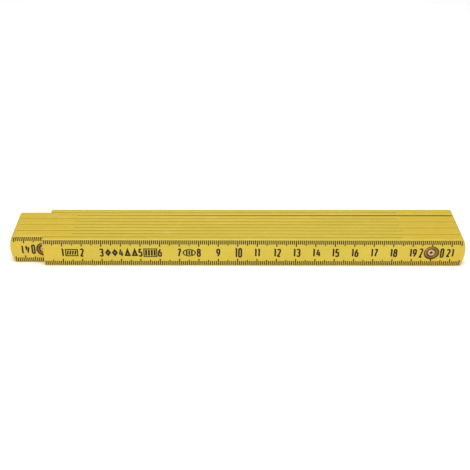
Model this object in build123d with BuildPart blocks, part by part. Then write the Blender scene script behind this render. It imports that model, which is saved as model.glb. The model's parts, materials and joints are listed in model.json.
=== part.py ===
from build123d import *

import os
from math import sqrt

# Two-metre folding rule: ten moulded leaves on nine riveted detent joints, shown folded.
#
# Units are millimetres. The folded rule stands on the lower edges of its leaves. X runs along the
# leaves, Y runs through the stack from the first leaf (front, -Y) to the last (back, +Y), and Z is
# up. The origin lies on the surface that the rule stands on, midway between the two rows of joints
# and under the middle of the stack.
#
# Each leaf has its own frame: x along the leaf, y up across its width, z towards its front face.
# Joint j holds leaf j in front and leaf j + 1 behind. Odd joints are at the right end of the folded
# rule, even joints at the left end.

# ---- the leaves ----
LEAVES = 10
JOINT_SPACING = 200.0  # from one joint of a leaf to the other
LEAF_WIDTH = 16.0
LEAF_THICKNESS = 3.0  # measured over a joint pad
PAD_CLEARANCE = 0.065  # between the two pads of a joint
PAD_HEIGHT = 0.12  # how far a pad stands out of its face
PAD_INBOARD = 15.0  # how far a pad runs past its joint, towards the middle of the leaf
PAD_EDGE_RADIUS = 0.04
END_REACH = 17.4  # from a joint to the tip of the rounded end
END_RADIUS = 20.0  # the rounded end, seen from the front
END_CORNER = 1.8  # where the rounded end meets the long edges
FREE_CORNER = 1.0  # the square end of the first and the last leaf
EDGE_RADIUS = 0.6  # all round both faces, but not at the pads, whose edges are crisp
PLAY_DEGREES = {8: 0.2}  # how far a worn joint lets the leaves behind it lean away

# ---- the joints ----
RIVET_RADIUS = 1.5  # shank of the tubular rivet
EYE_RADIUS = 0.5  # hole through the rivet
BORE_CLEARANCE = 0.03
LIP_RADIUS = 2.1  # rolled-over ends of the rivet
LIP_CREST_RADIUS = 1.3
LIP_HEIGHT = 0.43
WASHER_RADIUS = 3.9
WASHER_THICKNESS = 0.3
WASHER_BEAD_RADIUS = 2.9  # middle of the ring pressed up in the washer
WASHER_BEAD_HALF_WIDTH = 0.5
WASHER_BEAD_HEIGHT = 0.2
POCKET_CLEARANCE = 0.15  # round the washer
POCKET_DEPTH = 0.85
REAR_WASHER_GAP = 0.03  # the rear washer turns against the leaf behind
SPRING_RADIUS = 5.4  # detent spring, a flat disc with two keys and two pressed ribs
SPRING_THICKNESS = 0.3
SPRING_RECESS = 0.45
SPRING_CLEARANCE = 0.06
SPRING_EYE_CLEARANCE = 0.25  # round the rivet
KEY_WIDTH = 2.6
KEY_REACH = 6.4
RIB_RADIUS = 0.4
RIB_INNER = 2.9
RIB_OUTER = 5.0
TRACK_INNER = 2.5  # ring-shaped groove that the ribs run in
TRACK_OUTER = 5.5
TRACK_DEPTH = 0.3
NOTCH_WIDTH = 1.1
NOTCH_DEPTH = 0.2
DETENTS = 4  # the joint clicks every quarter turn

# ---- worked out ----
PITCH = LEAF_THICKNESS + PAD_CLEARANCE
HALF_SPACING = JOINT_SPACING / 2
HALF_WIDTH = LEAF_WIDTH / 2
HALF_THICKNESS = LEAF_THICKNESS / 2
END_X = HALF_SPACING + END_REACH
END_CORNER_X = END_X - END_RADIUS + sqrt(END_RADIUS**2 - HALF_WIDTH**2)
PAD_FACE = PAD_CLEARANCE / 2  # heights from here on are measured from the plane between a joint's two pads
OUTER_FACE = PAD_FACE + LEAF_THICKNESS - PAD_HEIGHT
POCKET_FLOOR = OUTER_FACE - POCKET_DEPTH
TRACK_FLOOR = PAD_FACE + TRACK_DEPTH
RECESS_FLOOR = PAD_FACE + SPRING_RECESS
BORE_RADIUS = RIVET_RADIUS + BORE_CLEARANCE
POCKET_RADIUS = WASHER_RADIUS + POCKET_CLEARANCE


def joint_x(joint):
    """Where a joint lies along its leaves: odd joints at the right, even joints at the left."""
    return HALF_SPACING if joint % 2 else -HALF_SPACING


def stack_leaves():
    """The frame of each leaf, and of each joint as the leaf before it and the leaf after it carry it."""
    first = Plane(
        origin=(0, -(LEAVES - 1) / 2 * PITCH, HALF_WIDTH),
        x_dir=(1, 0, 0),
        z_dir=(0, -1, 0),
    )
    leaf_at = {1: first.location}
    on_front_leaf, on_rear_leaf = {}, {}
    for joint in range(1, LEAVES):
        x = joint_x(joint)
        lean = Location((0, 0, 0), (0, PLAY_DEGREES.get(joint, 0), 0))
        on_front_leaf[joint] = leaf_at[joint] * Location((x, 0, -PITCH / 2))
        on_rear_leaf[joint] = on_front_leaf[joint] * lean
        leaf_at[joint + 1] = on_rear_leaf[joint] * Location((-x, 0, -PITCH / 2))
    return leaf_at, on_front_leaf, on_rear_leaf


def keyed_disc(plane, growth):
    """Outline of the detent spring, or of the recess that holds it when it is grown by a clearance."""
    with BuildSketch(plane) as outline:
        Circle(SPRING_RADIUS + growth)
        Rectangle(2 * (KEY_REACH + growth), KEY_WIDTH + 2 * growth)
    return outline.sketch


def leaf_outline(square_left):
    """A leaf seen from the front: rounded where it has a joint, square where the rule begins or stops."""
    with BuildSketch() as outline:
        with BuildLine():
            if square_left:
                left = -HALF_SPACING
                Line((left, HALF_WIDTH), (left, -HALF_WIDTH))
            else:
                left = -END_CORNER_X
                ThreePointArc((left, HALF_WIDTH), (-END_X, 0), (left, -HALF_WIDTH))
            Line((left, -HALF_WIDTH), (END_CORNER_X, -HALF_WIDTH))
            ThreePointArc((END_CORNER_X, -HALF_WIDTH), (END_X, 0), (END_CORNER_X, HALF_WIDTH))
            Line((END_CORNER_X, HALF_WIDTH), (left, HALF_WIDTH))
        make_face()
        corner = FREE_CORNER if square_left else END_CORNER
        fillet(outline.vertices().filter_by_position(Axis.X, -END_X, 0), radius=corner)
        fillet(outline.vertices().filter_by_position(Axis.X, END_CORNER_X - 0.1, END_X), radius=END_CORNER)
    return outline.sketch


def make_leaf(number, leaf_location, front_joint, rear_joint):
    """One leaf. front_joint is the joint at its front face, rear_joint the one at its back face, or None."""
    plane = Plane(leaf_location)
    through = Axis(plane.origin, plane.z_dir)
    outline = leaf_outline(front_joint is None or rear_joint is None)
    with BuildPart() as leaf:
        with BuildSketch(plane):
            add(outline)
        extrude(amount=HALF_THICKNESS - PAD_HEIGHT, both=True)
        faces = leaf.faces().sort_by(through)
        fillet(faces[0].edges() + faces[-1].edges(), radius=EDGE_RADIUS)

        # A pad stands out of each face round its joint, as wide as the leaf and out to its tip.
        for side, joint in ((1, front_joint), (-1, rear_joint)):
            if joint is None:
                continue
            outward = 1 if joint_x(joint) > 0 else -1
            with BuildSketch(plane):
                add(outline)
                with Locations((outward * (HALF_SPACING - PAD_INBOARD - END_X), 0)):
                    Rectangle(2 * END_X, LEAF_WIDTH, mode=Mode.SUBTRACT)
            extrude(amount=side * HALF_THICKNESS)
            top = leaf.faces().sort_by(through)[-1 if side > 0 else 0]
            fillet(top.edges(), radius=PAD_EDGE_RADIUS)

        # The joint at the back face: a bore, a washer pocket in front, and the notched track behind.
        if rear_joint is not None:
            joint_plane = Plane(leaf_location * Location((joint_x(rear_joint), 0, -PITCH / 2)))
            with BuildSketch(joint_plane):
                Circle(BORE_RADIUS)
            extrude(amount=PITCH, mode=Mode.SUBTRACT)
            with BuildSketch(joint_plane.offset(POCKET_FLOOR)):
                Circle(POCKET_RADIUS)
            extrude(amount=PITCH, mode=Mode.SUBTRACT)
            with BuildSketch(joint_plane):
                Circle(TRACK_OUTER)
                Circle(TRACK_INNER, mode=Mode.SUBTRACT)
            extrude(amount=TRACK_FLOOR, mode=Mode.SUBTRACT)
            with BuildSketch(joint_plane.offset(TRACK_FLOOR)):
                with PolarLocations((RIB_INNER + RIB_OUTER) / 2, DETENTS):
                    SlotOverall(RIB_OUTER - RIB_INNER + NOTCH_WIDTH - 2 * RIB_RADIUS, NOTCH_WIDTH)
            extrude(amount=NOTCH_DEPTH, mode=Mode.SUBTRACT)

        # The joint at the front face: a bore, a washer pocket behind, and the keyed spring recess in front.
        if front_joint is not None:
            joint_plane = Plane(leaf_location * Location((joint_x(front_joint), 0, PITCH / 2)))
            with BuildSketch(joint_plane):
                Circle(BORE_RADIUS)
            extrude(amount=-PITCH, mode=Mode.SUBTRACT)
            with BuildSketch(joint_plane.offset(-POCKET_FLOOR)):
                Circle(POCKET_RADIUS)
            extrude(amount=-PITCH, mode=Mode.SUBTRACT)
            extrude(keyed_disc(joint_plane, SPRING_CLEARANCE), amount=-RECESS_FLOOR, mode=Mode.SUBTRACT)
    leaf.part.label = f"leaf_{number:02d}"
    export_step(leaf.part, f"parts/{leaf.part.label}.step")


def make_rivet(number, joint_at):
    """Tubular rivet, its two ends rolled over the washers."""
    plane = Plane(joint_at)
    section = Plane(plane.origin, x_dir=plane.x_dir, z_dir=-plane.y_dir)
    front_seat = POCKET_FLOOR + WASHER_THICKNESS
    rear_seat = front_seat + REAR_WASHER_GAP
    with BuildPart() as rivet:
        with BuildSketch(section):
            with BuildLine():
                Polyline(
                    (LIP_RADIUS, front_seat),
                    (RIVET_RADIUS, front_seat),
                    (RIVET_RADIUS, -rear_seat),
                    (LIP_RADIUS, -rear_seat),
                )
                ThreePointArc(
                    (LIP_RADIUS, -rear_seat),
                    (LIP_CREST_RADIUS, -rear_seat - LIP_HEIGHT),
                    (EYE_RADIUS, -rear_seat),
                )
                Line((EYE_RADIUS, -rear_seat), (EYE_RADIUS, front_seat))
                ThreePointArc(
                    (EYE_RADIUS, front_seat),
                    (LIP_CREST_RADIUS, front_seat + LIP_HEIGHT),
                    (LIP_RADIUS, front_seat),
                )
            make_face()
        revolve(axis=Axis(plane.origin, plane.z_dir))
    rivet.part.label = f"rivet_{number}"
    export_step(rivet.part, f"parts/{rivet.part.label}.step")


def make_washer(name, joint_at, seat, outward):
    """Pressed washer with a raised ring. It lies at height seat and faces outward, 1 or -1."""
    plane = Plane(joint_at)
    section = Plane(plane.origin, x_dir=plane.x_dir, z_dir=-plane.y_dir)
    top = seat + outward * WASHER_THICKNESS
    bead_top = top + outward * WASHER_BEAD_HEIGHT
    bead_inner = WASHER_BEAD_RADIUS - WASHER_BEAD_HALF_WIDTH
    bead_outer = WASHER_BEAD_RADIUS + WASHER_BEAD_HALF_WIDTH
    with BuildPart() as washer:
        with BuildSketch(section):
            with BuildLine():
                Polyline(
                    (bead_inner, top),
                    (BORE_RADIUS, top),
                    (BORE_RADIUS, seat),
                    (WASHER_RADIUS, seat),
                    (WASHER_RADIUS, top),
                    (bead_outer, top),
                )
                ThreePointArc((bead_outer, top), (WASHER_BEAD_RADIUS, bead_top), (bead_inner, top))
            make_face()
        revolve(axis=Axis(plane.origin, plane.z_dir))
    washer.part.label = name
    export_step(washer.part, f"parts/{name}.step")


def make_spring(number, joint_at):
    """Detent spring: a keyed disc in the rear leaf, with two ribs that reach into the front leaf."""
    plane = Plane(joint_at)
    face = SPRING_THICKNESS - RECESS_FLOOR
    with BuildPart() as spring:
        extrude(keyed_disc(plane.offset(-RECESS_FLOOR), 0), amount=SPRING_THICKNESS)
        for side in (1, -1):
            rib_plane = Plane(
                plane.from_local_coords((side * RIB_INNER, 0, face)),
                x_dir=plane.y_dir,
                z_dir=plane.x_dir * side,
            )
            with BuildSketch(rib_plane):
                Circle(RIB_RADIUS)
            extrude(amount=RIB_OUTER - RIB_INNER)
        # The ribs are pressed up from the sheet, so nothing stands out of its underside.
        with BuildSketch(plane.offset(-RECESS_FLOOR)):
            Circle(KEY_REACH)
        extrude(amount=-RIB_RADIUS, mode=Mode.SUBTRACT)
        with BuildSketch(plane.offset(-RECESS_FLOOR)):
            Circle(RIVET_RADIUS + SPRING_EYE_CLEARANCE)
        extrude(amount=SPRING_THICKNESS, mode=Mode.SUBTRACT)
    spring.part.label = f"detent_spring_{number}"
    export_step(spring.part, f"parts/{spring.part.label}.step")


os.makedirs("parts", exist_ok=True)
leaf_at, on_front_leaf, on_rear_leaf = stack_leaves()
for number in range(1, LEAVES + 1):
    front_joint = number - 1 if number > 1 else None
    rear_joint = number if number < LEAVES else None
    make_leaf(number, leaf_at[number], front_joint, rear_joint)
for joint in range(1, LEAVES):
    carried = on_front_leaf[joint]
    make_rivet(joint, carried)
    make_washer(f"front_washer_{joint}", carried, POCKET_FLOOR, 1)
    make_washer(f"rear_washer_{joint}", carried, -POCKET_FLOOR - REAR_WASHER_GAP, -1)
    make_spring(joint, on_rear_leaf[joint])
    print("joint", joint, "at", tuple(Plane(carried).origin), "axis", tuple(-Plane(carried).z_dir))
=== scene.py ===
import json
import math

import bpy
import numpy as np
from mathutils import Matrix, Vector


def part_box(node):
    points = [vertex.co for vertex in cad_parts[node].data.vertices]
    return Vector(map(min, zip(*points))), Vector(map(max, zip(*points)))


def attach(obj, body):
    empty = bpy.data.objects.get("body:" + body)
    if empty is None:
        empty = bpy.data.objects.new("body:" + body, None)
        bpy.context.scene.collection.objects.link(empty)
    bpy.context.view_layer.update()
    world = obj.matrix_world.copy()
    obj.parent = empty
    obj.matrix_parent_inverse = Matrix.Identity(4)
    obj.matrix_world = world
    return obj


# The looks of a two-metre folding rule: its printed scales, its joint hardware, its finishes and
# the studio. Blender works in metres: X along the folded leaves, Y through the stack from the first
# leaf to the last, Z up. Shapes are laid out in millimetres and brought to metres at the end. On a
# face of a leaf, u runs along the leaf and v across it, seen from outside.

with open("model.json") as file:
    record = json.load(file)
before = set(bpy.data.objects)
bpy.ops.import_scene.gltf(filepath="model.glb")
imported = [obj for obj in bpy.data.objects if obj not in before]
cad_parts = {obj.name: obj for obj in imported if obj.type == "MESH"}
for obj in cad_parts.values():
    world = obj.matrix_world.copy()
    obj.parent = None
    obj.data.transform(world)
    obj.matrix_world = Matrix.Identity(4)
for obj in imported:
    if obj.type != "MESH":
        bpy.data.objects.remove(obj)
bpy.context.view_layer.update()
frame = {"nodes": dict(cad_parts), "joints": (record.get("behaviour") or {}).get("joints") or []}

MM = 0.001

# ---- the rule, read from the frame ----
LEAVES = len(frame["joints"]) + 1
HINGE_POINT = [np.array(joint["pos_m"]) for joint in frame["joints"]]
HINGE_AXIS = [np.array(joint["axis"], float) for joint in frame["joints"]]
PITCH = (HINGE_POINT[2] - HINGE_POINT[0])[1] / 2
HALF_SPACING = HINGE_POINT[0][0]
SPACING_MM = 2 * HALF_SPACING / MM
UP = np.array([0.0, 0.0, 1.0])


def leaf_frame(number):
    """Middle of a leaf, and its unit directions along it and out of its front face."""
    hinge = min(number, LEAVES - 1) - 1
    point, axis = HINGE_POINT[hinge], HINGE_AXIS[hinge]
    along = np.array([axis[1], -axis[0], 0.0])
    to_right = 1 if point[0] > 0 else -1
    to_front = 1 if number < LEAVES else -1
    return point - along * to_right * HALF_SPACING - axis * to_front * PITCH / 2, along, -axis


FIRST_LOW, FIRST_HIGH = (np.array(corner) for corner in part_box("leaf_01"))
HALF_WIDTH_MM = (FIRST_HIGH[2] - FIRST_LOW[2]) / 2 / MM
FACE_HEIGHT = leaf_frame(1)[0][1] - FIRST_LOW[1]
END_TIP_MM = FIRST_HIGH[0] / MM
END_RADIUS_MM = 20.0  # the rounded end of a leaf
END_CORNER_MM = 1.8  # where that end meets the long edges
EDGE_RADIUS_MM = 0.6  # round the faces of a leaf
END_U_MM = END_TIP_MM - END_RADIUS_MM
CORNER_V_MM = HALF_WIDTH_MM - END_CORNER_MM
CORNER_U_MM = END_U_MM + math.sqrt((END_RADIUS_MM - END_CORNER_MM) ** 2 - CORNER_V_MM**2)

# ---- the printing, in millimetres ----
INK_ABOVE = 0.012  # how far the ink stands out of the face
INK_BELOW = 0.004  # how far it reaches into it
STROKE_START = 0.45  # from the edge of the leaf to the strokes of the scale
STROKE_END = {1: 2.95, 5: 3.65, 10: 4.25}  # to the inner ends of 1 mm, 5 mm and 10 mm strokes
STROKE_WIDTH = {1: 0.58, 5: 0.58, 10: 0.6}
FACE_START = 17.5  # a leaf's scale starts this far past the joint with the leaf before
DIGIT = {"width": 2.15, "height": 5.1, "pen": 0.88, "gap": 0.42}
TENS = {"width": 2.1, "height": 5.9, "pen": 0.88, "gap": 0.4}
LONG_TENS = {"width": 1.9, "height": 5.9, "pen": 0.76, "gap": 0.33}
ONE_WIDTH = 0.42  # how much wider a 1 is than its stem
FOUR_EXTRA, FOUR_PEN = 0.45, 0.9  # a 4 is wider than the other digits, and its strokes finer
RIVET_ROOM = 4.4  # from a joint to the number printed round it
ARC_STEPS = 9  # points on an arc or a long bend of a digit
BEND_STEPS = 4  # points on a tight bend
EDGE_STEPS = 4  # points of a stroke on the rounded edge
SAME_POINT = 1e-4  # points of a path nearer than this are one point

# The ornaments: places from the zero end, and the steps of the bars inside the frames.
SLANTS_AT, SLANT_STEPS = 14.7, (-1.95, -0.65, 0.65, 1.95)
LOZENGES_AT = (33.4, 36.9)
WEDGES_AT = (43.4, 47.1)
BARS_AT, BAR_STEPS = 55.1, (-2.2, -0.75, 0.75, 2.2)
OVAL_AT, OVAL_STEPS = 75.1, (-1.3, 0, 1.3)
OUTLINE_PEN = 0.6


def arc(x, y, radius_x, radius_y, start, stop):
    """Points on an ellipse about (x, y): x + radius_x cos t, y + radius_y sin t, with t from start
    to stop in degrees."""
    t = np.radians(np.linspace(start, stop, ARC_STEPS))
    return np.stack([x + radius_x * np.cos(t), y + radius_y * np.sin(t)], 1)


def bezier(a, b, c, steps=ARC_STEPS):
    """A quadratic curve through three corners: (1-t)^2 a + 2 t (1-t) b + t^2 c."""
    a, b, c = (np.array(point, float) for point in (a, b, c))
    t = np.linspace(0, 1, steps)[:, None]
    return (1 - t) ** 2 * a + 2 * t * (1 - t) * b + t**2 * c


def loop(x, low, high, radius):
    """Centre line of an upright oval: two half circles joined by straight sides."""
    top = arc(x, high - radius, radius, radius, 0, 180)
    bottom = arc(x, low + radius, radius, radius, 180, 360)
    return np.vstack([top, bottom])


def ellipse(half_length, half_height):
    """Centre line of an ellipse about (0, 0)."""
    return np.vstack([arc(0, 0, half_length, half_height, start, start + 180) for start in (0, 180)])


def digit_strokes(digit, w, h):
    """Centre lines of a narrow upright digit in a box of half width w and half height h, as a list
    of (points, closed)."""
    if digit == "0":
        return [(loop(0, -h, h, w), True)]
    if digit == "1":
        flag = bezier((0, h), (w, h), (w, h - 0.5), BEND_STEPS)
        return [(np.vstack([[(-w, h - 1.1 * w)], flag, [(w, -h)]]), False)]
    if digit == "2":
        bowl = arc(0, h - w, w, w, 170, 0)
        slope = bezier((w, h - 1.3 * w), (0.75 * w, 0.05 * h), (-0.7 * w, 0.45 - h))
        foot = bezier((-0.8 * w, 0.35 - h), (-1.1 * w, -h), (-0.4 * w, -h), BEND_STEPS)
        return [(np.vstack([bowl, slope, foot, [(w, -h)]]), False)]
    if digit == "3":
        waist = 0.06 * h
        top = [arc(0, h - w, w, w, 170, 0), arc(0, waist + 0.7 * w, w, 0.7 * w, 0, -90)]
        low = [arc(0, waist - w, w, w, 90, 0), arc(0, w - h, w, w, 0, -170)]
        return [
            (np.vstack([*top, [(-0.4 * w, waist)]]), False),
            (np.vstack([[(-0.3 * w, waist)], *low]), False),
        ]
    if digit == "4":
        bar = -0.42 * h
        return [
            (np.array([(0.55 * w, 0.35 * h), (0.55 * w, -h)]), False),
            (np.array([(-1.1 * w, bar), (1.3 * w, bar)]), False),
            (np.array([(-0.05 * w, h), (-0.85 * w, bar)]), False),
        ]
    if digit == "5":
        shoulder = 0.2 * h
        flag = bezier((-0.3 * w, h), (-0.85 * w, h), (-0.87 * w, h - 0.4), BEND_STEPS)
        neck_low = (-0.95 * w, shoulder - 0.35)
        neck = bezier((-0.95 * w, shoulder + 0.1), neck_low, (-0.55 * w, shoulder - 0.15), BEND_STEPS)
        bowl = np.vstack([arc(0, shoulder - w, w, w, 100, 0), arc(0, w - h, w, w, 0, -170)])
        return [(np.vstack([[(0.95 * w, h)], flag, neck, bowl]), False)]
    if digit in "69":
        turn = 1 if digit == "6" else -1
        shoulder = 0.16 * h
        stem = bezier((0.5 * w, h), (-0.95 * w, 0.4 * h), (-w, shoulder - w))
        return [(loop(0, -h, shoulder, w) * turn, True), (stem * turn, False)]
    if digit == "7":
        corner = bezier((0.5 * w, h), (1.05 * w, h), (0.85 * w, h - 0.5), BEND_STEPS)
        slope = bezier((0.6 * w, h - 1.2), (-0.2 * w, 0), (-0.35 * w, -h))
        return [(np.vstack([[(-w, h)], corner, slope]), False)]
    if digit == "8":
        waist = 0.07 * h
        return [(loop(0, waist, h, 0.9 * w), True), (loop(0, -h, waist, w), True)]
    raise ValueError(f"no digit: {digit}")


def pen_stroke(path, pen, closed):
    """A flat bar carried along a path. Each point is widened along its mitre, (a + b) / (1 + a.b)
    for the two unit normals a and b that meet there. Returns rings of four corners (u, v, height)."""
    apart = np.linalg.norm(path - np.roll(path, 1, 0), axis=1) > SAME_POINT
    if not closed:
        apart[0] = True
    path = path[apart]
    ahead = np.roll(path, -1, 0) - path
    if not closed:
        ahead[-1] = ahead[-2]
    ahead /= np.linalg.norm(ahead, axis=1)[:, None]
    behind = np.roll(ahead, 1, 0)
    if not closed:
        behind[0] = ahead[0]
    normal_a = np.stack([-behind[:, 1], behind[:, 0]], 1)
    normal_b = np.stack([-ahead[:, 1], ahead[:, 0]], 1)
    mitre = (normal_a + normal_b) / (1 + (normal_a * normal_b).sum(1))[:, None]
    left, right = path + mitre * pen / 2, path - mitre * pen / 2
    low, high = np.full((len(path), 1), -INK_BELOW), np.full((len(path), 1), INK_ABOVE)
    corners = [np.hstack(pair) for pair in ((left, low), (left, high), (right, high), (right, low))]
    return np.stack(corners, 1)


def tube_faces(rings, closed):
    """Quads between neighbouring rings of four corners, and the two ends of an open bar."""
    step = np.arange(rings if closed else rings - 1)[:, None]
    after = (step + 1) % rings
    side = np.arange(4)[None, :]
    beside = (side + 1) % 4
    quads = np.stack([4 * step + side, 4 * step + beside, 4 * after + beside, 4 * after + side], -1)
    quads = quads.reshape(-1, 4)
    if closed:
        return quads
    last = 4 * (rings - 1)
    return np.vstack([quads, [[3, 2, 1, 0]], [[last, last + 1, last + 2, last + 3]]])


class Ink:
    """Printed bars gathered on one face of a leaf, in millimetres."""

    def __init__(self):
        self.corners = []
        self.faces = []
        self.count = 0

    def bar(self, path, pen, closed=False, lift=0.0):
        """Adds one bar. lift raises its top a little where it crosses another bar."""
        rings = pen_stroke(np.array(path, float), pen, closed)
        rings[:, 1:3, 2] += lift
        self.faces.append(tube_faces(len(rings), closed) + self.count)
        self.corners.append(rings.reshape(-1, 3))
        self.count += 4 * len(rings)

    def number(self, text, u, turn, style, align=0):
        """Digits side by side. u is the middle of the number where align is 0, the far end of its
        last digit where it is -1, and the near end of its first where it is 1. A number of two digits
        has its middle between them. turn is -1 upside down."""
        pen, wide = style["pen"], style["width"]
        special = {"1": pen + ONE_WIDTH, "4": wide + FOUR_EXTRA}
        widths = [special.get(digit, wide) for digit in text]
        length = sum(widths) + style["gap"] * (len(text) - 1)
        start = -length / 2 + align * length / 2
        if align == 0 and len(text) == 2:
            start = -style["gap"] / 2 - widths[0]
        for digit, width in zip(text, widths):
            strokes = digit_strokes(digit, (width - pen) / 2, (style["height"] - pen) / 2)
            for layer, (path, closed) in enumerate(strokes):
                place = path + np.array([start + width / 2, 0])
                fine = pen * FOUR_PEN if digit == "4" else pen
                self.bar(place * turn + np.array([u, 0]), fine, closed, layer * INK_BELOW / 2)
            start += width + style["gap"]

    def mesh(self, origin, along, up, outward):
        """Corners in metres on a face of a leaf, and faces. Past the flat of the face the ink follows
        the rounded edge, which falls by r - sqrt(r^2 - d^2) at a distance d past it."""
        flat = np.vstack(self.corners)
        past = np.clip(EDGE_RADIUS_MM - edge_distance(flat[:, 0], flat[:, 1]), 0, EDGE_RADIUS_MM)
        flat[:, 2] -= EDGE_RADIUS_MM - np.sqrt(EDGE_RADIUS_MM**2 - past**2)
        u, v, height = np.split(flat * MM, 3, axis=1)
        corners = origin + u * along + v * up + (height + FACE_HEIGHT) * outward
        return corners, np.vstack(self.faces)


def half_width_at(u):
    """Half the width of a leaf near its rounded end: straight, then the corner's arc about
    (CORNER_U_MM, CORNER_V_MM), then the end's arc about (END_U_MM, 0)."""
    arcs_meet = END_U_MM + (CORNER_U_MM - END_U_MM) * END_RADIUS_MM / (END_RADIUS_MM - END_CORNER_MM)
    if u <= CORNER_U_MM:
        return HALF_WIDTH_MM
    if u <= arcs_meet:
        return CORNER_V_MM + math.sqrt(END_CORNER_MM**2 - (u - CORNER_U_MM) ** 2)
    return math.sqrt(END_RADIUS_MM**2 - (u - END_U_MM) ** 2)


def edge_distance(u, v):
    """How far points lie inside the outline of a leaf with two rounded ends: from its long edges,
    from the arc of its end, or in the corner between them from the corner's arc."""
    u, v = np.abs(u), np.abs(v)
    past_u, past_v = u - CORNER_U_MM, v - CORNER_V_MM
    from_end = END_RADIUS_MM - np.hypot(u - END_U_MM, v)
    from_corner = END_CORNER_MM - np.hypot(past_u, past_v)
    at_corner = past_v * (CORNER_U_MM - END_U_MM) > past_u * CORNER_V_MM
    at_end = np.where(at_corner, from_corner, from_end)
    return np.where(past_u > 0, at_end, HALF_WIDTH_MM - v)


def print_scale(ink, number):
    """The centimetre scale of one leaf. A reading of s mm on leaf k lies at s - (k - 1/2) * spacing
    along the leaf. Even leaves are turned end to end, so their scale runs the other way."""
    middle = (number - 0.5) * SPACING_MM
    turn = 1 if number % 2 else -1
    first = 1 if number == 1 else math.ceil((number - 1) * SPACING_MM + FACE_START)
    last = LEAVES * SPACING_MM - 1 if number == LEAVES else math.floor(middle + END_TIP_MM) - 1
    bend = np.linspace(0, EDGE_RADIUS_MM, EDGE_STEPS)
    for reading in range(first, int(last) + 1):
        kind = 10 if reading % 10 == 0 else 5 if reading % 5 == 0 else 1
        u = reading - middle
        outer = half_width_at(u + STROKE_WIDTH[kind] / 2) - STROKE_START
        v = np.append(outer - bend, HALF_WIDTH_MM - STROKE_END[kind])
        for side in (1, -1):
            ink.bar(np.stack([np.full(len(v), turn * u), side * v], 1), STROKE_WIDTH[kind])
        if kind == 10:
            print_number(ink, reading, u * turn, turn, number)


def print_number(ink, reading, u, turn, number):
    """The number of a centimetre. Tens are larger, and one on a joint is split round the rivet."""
    text = str(reading // 10)
    if reading % 100:
        ink.number(text, u, turn, DIGIT)
    elif reading % SPACING_MM or number == LEAVES:
        ink.number(text, u, turn, TENS)
    else:
        style = TENS if len(text) == 2 else LONG_TENS
        ink.number(text[:-1], u - turn * RIVET_ROOM, turn, style, align=-1)
        ink.number(text[-1], u + turn * RIVET_ROOM, turn, style, align=1)


def print_marks(ink):
    """Plain ornaments between the first numbers of the first leaf: slanted bars and upright bars in
    frames, lozenges, wedges, and bars in an oval."""

    def shape(at, points, pen, closed=True):
        ink.bar([(at + u - SPACING_MM / 2, v) for u, v in points], pen, closed)

    def box(at, half_length, half_height):
        side, top = half_length - OUTLINE_PEN / 2, half_height - OUTLINE_PEN / 2
        shape(at, [(-side, -top), (side, -top), (side, top), (-side, top)], OUTLINE_PEN)

    box(SLANTS_AT, 3.35, 2.2)
    for step in SLANT_STEPS:
        shape(SLANTS_AT + step, [(-0.3, -1.25), (0.3, 1.25)], 0.85, False)
    for at in LOZENGES_AT:
        shape(at, [(-0.95, 0), (0, -1.4), (0.95, 0), (0, 1.4)], 1.1)
    for at in WEDGES_AT:
        shape(at, [(-1.0, -1.6), (1.0, -1.6), (0, 1.5)], 1.0)
    box(BARS_AT, 3.6, 2.6)
    for step in BAR_STEPS:
        shape(BARS_AT + step, [(0, -1.75), (0, 1.75)], 1.05, False)
    shape(OVAL_AT, ellipse(3.15, 1.95), OUTLINE_PEN)
    for step in OVAL_STEPS:
        shape(OVAL_AT + step, [(0, -1.35), (0, 1.35)], 0.85, False)


def new_mesh(name, corners, faces, finish):
    """A mesh object at the origin from arrays of corners and faces."""
    mesh = bpy.data.meshes.new(name)
    mesh.from_pydata(corners.tolist(), [], faces.tolist())
    mesh.update()
    mesh.materials.append(finish)
    piece = bpy.data.objects.new(name, mesh)
    bpy.context.scene.collection.objects.link(piece)
    return piece


def print_leaf(number, side, finish):
    """The printing on one face. The back of a leaf carries the scale that the leaf as far from the
    other end of the stack has on its front: the rule rolled over reads the same again."""
    ink = Ink()
    print_scale(ink, number if side == "front" else LEAVES + 1 - number)
    if number == 1 and side == "front":
        print_marks(ink)
    origin, along, outward = leaf_frame(number)
    way = 1 if side == "front" else -1
    corners, faces = ink.mesh(origin, along, UP * way, outward * way)
    piece = new_mesh(f"print_{side}_{number:02d}", corners, faces, finish)
    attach(piece, f"section_{number:02d}")


# ---- finishes ----
YELLOW, YELLOW_PALE = (0.505, 0.375, 0.026, 1), (0.54, 0.41, 0.036, 1)
# A warmer tint for the ends of the leaves: painted warm shade round the joints, not the plastic's own
# colour.
YELLOW_SHADE_TINT = (0.55, 0.38, 0.024, 1)  # near the joints
FIBRE, SPECK, RUBBED = (0.43, 0.31, 0.018, 1), (0.60, 0.48, 0.08, 1), (0.62, 0.50, 0.13, 1)
INK_DARK, INK_THIN = (0.012, 0.006, 0.001, 1), (0.035, 0.019, 0.004, 1)
RIVET_BRIGHT, RIVET_DULL = (0.54, 0.36, 0.19, 1), (0.33, 0.20, 0.08, 1)
WASHER_BRIGHT, WASHER_DULL = (0.38, 0.23, 0.07, 1), (0.20, 0.115, 0.03, 1)
# Painted shade for the grooves round a joint and the rim of its pocket.
PAINTED_RING_SHADE = (0.02, 0.011, 0.007, 1)
STEEL_DARK, STEEL_LIGHT = (0.40, 0.40, 0.39, 1), (0.62, 0.62, 0.61, 1)
RUB_DEEP, RUB_SHALLOW = 0.5, 0.05  # millimetres below the long edge where rubbing starts, and is full
RINGS_REACH = 0.004  # metres from a joint's axis to the outside of its pocket
# How far the metal is kept from painted shade, from the axis (0) to that reach (1): 1 leaves the
# metal's colour, and lower values blend it towards painted shade in rings for the grooves and the rim
# of the pocket.
LIT_AT_AXIS, LIT_OUTSIDE = 0.6, 0.05
LIT_AT = ((0.2, 0.8), (0.3, 1.0), (0.42, 0.9), (0.55, 0.2))
LIT_AT += ((0.62, 0.3), (0.72, 1.0), (0.82, 0.7), (0.88, 0.3))


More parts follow.
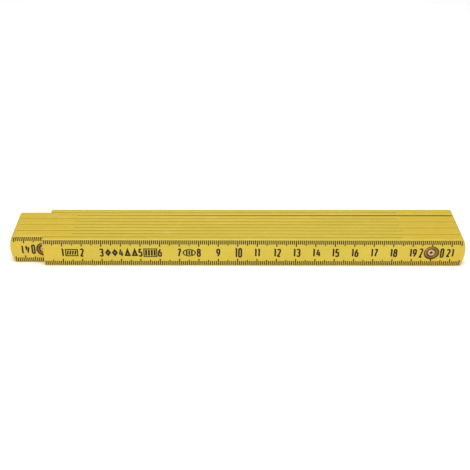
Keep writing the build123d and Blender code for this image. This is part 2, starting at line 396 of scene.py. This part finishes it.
def add_node(tree, kind, inputs=None, **settings):
    """Adds a shader node, with its settings and the values or links of its inputs."""
    made = tree.nodes.new(kind)
    for name, value in settings.items():
        setattr(made, name, value)
    for name, value in (inputs or {}).items():
        if isinstance(value, bpy.types.NodeSocket):
            tree.links.new(value, made.inputs[name])
        else:
            made.inputs[name].default_value = value
    return made


def ramp(tree, value, low, high, to_low=0.0, to_high=1.0):
    """Maps a value from one range to another, held at both ends."""
    limits = {"From Min": low, "From Max": high, "To Min": to_low, "To Max": to_high}
    return add_node(tree, "ShaderNodeMapRange", {"Value": value, **limits}, clamp=True).outputs[0]


def maths(tree, operation, a, b=0.0):
    """One step of arithmetic on a value."""
    return add_node(tree, "ShaderNodeMath", {0: a, 1: b}, operation=operation).outputs[0]


def noise(tree, place, scale, detail, roughness=0.5):
    """Cloudy noise, about 0.5 on average."""
    inputs = {"Vector": place, "Scale": scale, "Detail": detail, "Roughness": roughness}
    return add_node(tree, "ShaderNodeTexNoise", inputs).outputs[0]


def stretched(tree, place, scale):
    """The coordinates with each axis scaled."""
    return add_node(tree, "ShaderNodeMapping", {"Vector": place, "Scale": scale}).outputs[0]


def blend(tree, factor, a, b):
    """Colour a where factor is 0 and colour b where it is 1."""
    return add_node(tree, "ShaderNodeMix", {0: factor, 6: a, 7: b}, data_type="RGBA").outputs[2]


def new_group(name, inputs, outputs):
    """An empty shader group with these sockets. Returns it with its given and its result sockets."""
    tree = bpy.data.node_groups.new(name, "ShaderNodeTree")
    for label, kind, value in inputs:
        socket = tree.interface.new_socket(label, in_out="INPUT", socket_type=kind)
        if value is not None:
            socket.default_value = value
    for label in outputs:
        tree.interface.new_socket(label, in_out="OUTPUT", socket_type="NodeSocketFloat")
    return tree, tree.nodes.new("NodeGroupInput").outputs, tree.nodes.new("NodeGroupOutput").inputs


def make_speckle():
    """Fine even grain: a fine noise for the height, and the mean of it and a coarser one for tint."""
    sockets = [("Position", "NodeSocketVector", None), ("Size", "NodeSocketFloat", 0.0003)]
    tree, given, result = new_group("speckle", sockets, ["Height", "Tint"])
    scale = maths(tree, "DIVIDE", 1.0, given["Size"])
    fine = noise(tree, given["Position"], scale, 2.0)
    coarse = noise(tree, given["Position"], maths(tree, "MULTIPLY", scale, 0.2), 3.0)
    tree.links.new(fine, result["Height"])
    tree.links.new(maths(tree, "MULTIPLY", maths(tree, "ADD", fine, coarse), 0.5), result["Tint"])
    return tree


def make_wear():
    """Patches: a coarse noise that is cut off sharply, at a lower level for a larger amount."""
    sockets = [
        ("Position", "NodeSocketVector", None),
        ("Size", "NodeSocketFloat", 0.004),
        ("Amount", "NodeSocketFloat", 0.3),
    ]
    tree, given, result = new_group("wear", sockets, ["Mask"])
    patches = noise(tree, given["Position"], maths(tree, "DIVIDE", 1.0, given["Size"]), 6.0, 0.65)
    level = maths(tree, "SUBTRACT", 0.85, given["Amount"])
    tree.links.new(ramp(tree, patches, level, maths(tree, "ADD", level, 0.12)), result["Mask"])
    return tree


def make_joint_distance():
    """Distance from the nearest joint's axis, in metres: the two rows of joints are mirrored in X."""
    sockets = [
        ("Position", "NodeSocketVector", None),
        ("Joint X", "NodeSocketFloat", float(HALF_SPACING)),
        ("Joint Z", "NodeSocketFloat", float(HINGE_POINT[0][2])),
    ]
    tree, given, result = new_group("joint_distance", sockets, ["Distance", "Inboard"])
    parts = add_node(tree, "ShaderNodeSeparateXYZ", {0: given["Position"]}).outputs
    across = maths(tree, "SUBTRACT", maths(tree, "ABSOLUTE", parts[0]), given["Joint X"])
    height = maths(tree, "SUBTRACT", parts[2], given["Joint Z"])
    squares = maths(tree, "ADD", maths(tree, "POWER", across, 2.0), maths(tree, "POWER", height, 2.0))
    tree.links.new(maths(tree, "SQRT", squares), result["Distance"])
    tree.links.new(maths(tree, "MULTIPLY", across, -1.0), result["Inboard"])
    return tree


SPECKLE = make_speckle()
WEAR = make_wear()
JOINT_DISTANCE = make_joint_distance()


def use_group(tree, group, **inputs):
    """Places a shader group in a material and gives it its inputs. Returns its outputs."""
    labels = {label.replace("_", " "): value for label, value in inputs.items()}
    return add_node(tree, "ShaderNodeGroup", labels, node_tree=group).outputs


def new_material(name, specular=0.5, metallic=0.0):
    """A material with an empty shader. Returns it with its tree, its shader and the coordinates."""
    material = bpy.data.materials.new(name)
    material.use_nodes = True
    tree = material.node_tree
    tree.nodes.clear()
    constants = {"Specular IOR Level": specular, "Metallic": metallic}
    shader = add_node(tree, "ShaderNodeBsdfPrincipled", constants)
    add_node(tree, "ShaderNodeOutputMaterial", {0: shader.outputs[0]})
    return material, tree, shader, add_node(tree, "ShaderNodeTexCoord").outputs["Object"]


def connect(tree, shader, height=None, distance=0.0, strength=0.0, **inputs):
    """Feeds a shader its colour, roughness and the like, and a bump where a height is given."""
    for label, value in inputs.items():
        tree.links.new(value, shader.inputs[label.replace("_", " ")])
    if height:
        bump = {"Height": height, "Distance": distance, "Strength": strength}
        tree.links.new(add_node(tree, "ShaderNodeBump", bump).outputs[0], shader.inputs["Normal"])


def leaf_plastic():
    """Satin yellow glass-filled plastic: cloudy colour, faint fibres along the leaf, fine grain,
    painted warm shade towards the joints, and rubbed long edges."""
    material, tree, shader, place = new_material("leaf_plastic", specular=0.32)
    joint = use_group(tree, JOINT_DISTANCE, Position=place)
    speckle = use_group(tree, SPECKLE, Position=place, Size=0.00035)
    clouds = noise(tree, stretched(tree, place, (25.0, 329.0, 60.0)), 1.0, 3.0)
    fibres = noise(tree, stretched(tree, place, (90.0, 1500.0, 1500.0)), 1.0, 4.0)

    colour = blend(tree, ramp(tree, clouds, 0.35, 0.65), YELLOW, YELLOW_PALE)
    # Painted warm shade: the plastic turns warmer from 20 mm to 10 mm inboard of a joint's axis, and
    # stays warm outboard of that.
    colour = blend(tree, ramp(tree, joint["Inboard"], 0.02, 0.01, 0.0, 0.6), colour, YELLOW_SHADE_TINT)
    colour = blend(tree, ramp(tree, fibres, 0.45, 0.75, 0.0, 0.25), colour, FIBRE)
    colour = blend(tree, ramp(tree, speckle["Tint"], 0.45, 0.65, 0.0, 0.2), colour, SPECK)

    height = add_node(tree, "ShaderNodeSeparateXYZ", {0: place}).outputs[2]
    from_middle = maths(tree, "ABSOLUTE", maths(tree, "SUBTRACT", height, HALF_WIDTH_MM * MM))
    rub_starts, rub_full = (HALF_WIDTH_MM - RUB_DEEP) * MM, (HALF_WIDTH_MM - RUB_SHALLOW) * MM
    at_edge = ramp(tree, from_middle, rub_starts, rub_full)
    long_patches = stretched(tree, place, (0.5, 1.0, 1.0))
    patches = use_group(tree, WEAR, Position=long_patches, Size=0.0035)["Mask"]
    rubbed = maths(tree, "MULTIPLY", at_edge, patches)
    colour = blend(tree, maths(tree, "MULTIPLY", rubbed, 0.3), colour, RUBBED)

    roughness = ramp(tree, speckle["Tint"], 0.35, 0.65, 0.38, 0.52)
    connect(tree, shader, speckle["Height"], 0.00002, 0.25, Base_Color=colour, Roughness=roughness)
    return material


def scale_ink():
    """Dark brown ink, slightly uneven where it covers the grain of the plastic."""
    material, tree, shader, place = new_material("scale_ink", specular=0.2)
    speckle = use_group(tree, SPECKLE, Position=place, Size=0.0003)
    uneven = ramp(tree, speckle["Tint"], 0.42, 0.68)
    colour = blend(tree, uneven, INK_DARK, INK_THIN)
    roughness = ramp(tree, speckle["Tint"], 0.35, 0.65, 0.45, 0.6)
    connect(tree, shader, Base_Color=colour, Roughness=roughness)
    return material


def coppered(name, bright, dull, amount):
    """Coppered metal with press marks, tarnished in patches, with painted shade in rings round the
    joint for its grooves and the rim of its pocket."""
    material, tree, shader, place = new_material(name, metallic=0.9)
    joint = use_group(tree, JOINT_DISTANCE, Position=place)
    speckle = use_group(tree, SPECKLE, Position=place, Size=0.00018)
    tarnish = use_group(tree, WEAR, Position=place, Size=0.0016, Amount=amount)["Mask"]
    colour = blend(tree, tarnish, bright, dull)
    colour = blend(tree, ramp(tree, speckle["Tint"], 0.4, 0.65, 0.0, 0.35), colour, dull)
    # Painted shade in rings round the joint's axis, darkest at the rim of the pocket.
    rings = add_node(tree, "ShaderNodeValToRGB", {0: ramp(tree, joint["Distance"], 0.0, RINGS_REACH)})
    stops = rings.color_ramp.elements
    for spot, lit_level in LIT_AT:
        stops.new(spot).color = (lit_level, lit_level, lit_level, 1)
    stops[0].color = (LIT_AT_AXIS, LIT_AT_AXIS, LIT_AT_AXIS, 1)
    stops[-1].color = (LIT_OUTSIDE, LIT_OUTSIDE, LIT_OUTSIDE, 1)
    colour = blend(tree, rings.outputs[0], PAINTED_RING_SHADE, colour)
    roughness = ramp(tree, speckle["Tint"], 0.35, 0.65, 0.26, 0.44)
    connect(tree, shader, speckle["Height"], 0.00001, 0.3, Base_Color=colour, Roughness=roughness)
    return material


def spring_steel():
    """Bright rolled steel strip, with fine lines."""
    material, tree, shader, place = new_material("spring_steel", metallic=1.0)
    lines = noise(tree, stretched(tree, place, (400.0, 400.0, 9000.0)), 1.0, 2.0)
    colour = blend(tree, lines, STEEL_DARK, STEEL_LIGHT)
    connect(tree, shader, Base_Color=colour, Roughness=ramp(tree, lines, 0.3, 0.7, 0.24, 0.42))
    return material


# ---- the studio ----
EYE = Vector((-0.0060, -0.3770, 0.2457))
ELEVATION, HEADING, ROLL = 32.087, 0.7175, 0.4742  # degrees: down, to the right, anticlockwise
LENS, SENSOR = 64.43, 36.0
CLIP_START, CLIP_END = 0.01, 20.0
WORLD_STRENGTH = 0.4
FLOOR_HALF, FLOOR_DROP = 3.0, 1e-5
FLOOR_DARK, FLOOR_PALE = (0.96, 0.96, 0.96, 1), (0.98, 0.98, 0.98, 1)
# Each light: where it hangs, what it faces, its length and width, and its power in watts.
OVERHEAD = (0.0, -0.1, 1.1), (0, 0.1, 0), (0.9, 0.8), 12.5
LOW_FRONT = (-0.2, -1.1, 0.1), (0, 0, 0.01), (1.6, 0.2), 6.6


def make_camera():
    """The camera looks along +Y, turned down, to the right and about its own axis."""
    camera = bpy.data.objects.new("camera", bpy.data.cameras.new("camera"))
    camera.data.lens, camera.data.sensor_width = LENS, SENSOR
    camera.data.clip_start, camera.data.clip_end = CLIP_START, CLIP_END
    heading = Matrix.Rotation(math.radians(-HEADING), 4, "Z")
    pitch = Matrix.Rotation(math.radians(90 - ELEVATION), 4, "X")
    roll = Matrix.Rotation(math.radians(ROLL), 4, "Z")
    camera.matrix_world = Matrix.Translation(EYE) @ heading @ pitch @ roll
    bpy.context.scene.collection.objects.link(camera)
    bpy.context.scene.camera = camera


def make_floor():
    """A plain pale floor under the rule."""
    signs = np.array([(-1, -1), (1, -1), (1, 1), (-1, 1)])
    corners = np.hstack([signs * FLOOR_HALF, np.full((4, 1), -FLOOR_DROP)])
    material, tree, shader, place = new_material("floor_paper", specular=0.1)
    tone = noise(tree, place, 3.0, 2.0)
    colour = blend(tree, tone, FLOOR_DARK, FLOOR_PALE)
    connect(tree, shader, Base_Color=colour, Roughness=ramp(tree, tone, 0.0, 1.0, 0.85, 0.95))
    new_mesh("floor", corners, np.array([[0, 1, 2, 3]]), material)


def make_light(name, place, aim, size, power):
    """A rectangular soft light that faces a point."""
    lamp = bpy.data.lights.new(name, "AREA")
    lamp.shape, lamp.size, lamp.size_y, lamp.energy = "RECTANGLE", size[0], size[1], power
    light = bpy.data.objects.new(name, lamp)
    light.location = place
    light.rotation_euler = (Vector(aim) - Vector(place)).to_track_quat("-Z", "Y").to_euler()
    bpy.context.scene.collection.objects.link(light)


def make_studio():
    """Dim white surroundings, a soft light overhead, and a low one in front. The low one hardly
    reaches into the gaps between the leaves."""
    world = bpy.data.worlds.new("studio")
    world.use_nodes = True
    background = world.node_tree.nodes["Background"]
    background.inputs["Color"].default_value = (1, 1, 1, 1)
    background.inputs["Strength"].default_value = WORLD_STRENGTH
    bpy.context.scene.world = world
    make_light("overhead", *OVERHEAD)
    make_light("low_front", *LOW_FRONT)
    bpy.context.scene.view_settings.view_transform = "Standard"


make_camera()
make_studio()
make_floor()

FINISH = {
    "leaf": leaf_plastic(),
    "rivet": coppered("rivet_copper", RIVET_BRIGHT, RIVET_DULL, 0.3),
    "washer": coppered("washer_copper", WASHER_BRIGHT, WASHER_DULL, 0.4),
    "spring": spring_steel(),
}
for name, cad_node in frame["nodes"].items():
    cad_node.data.materials.clear()
    cad_node.data.materials.append(next(finish for word, finish in FINISH.items() if word in name))

INK = scale_ink()
for number in range(1, LEAVES + 1):
    print_leaf(number, "front", INK)
    print_leaf(number, "back", INK)
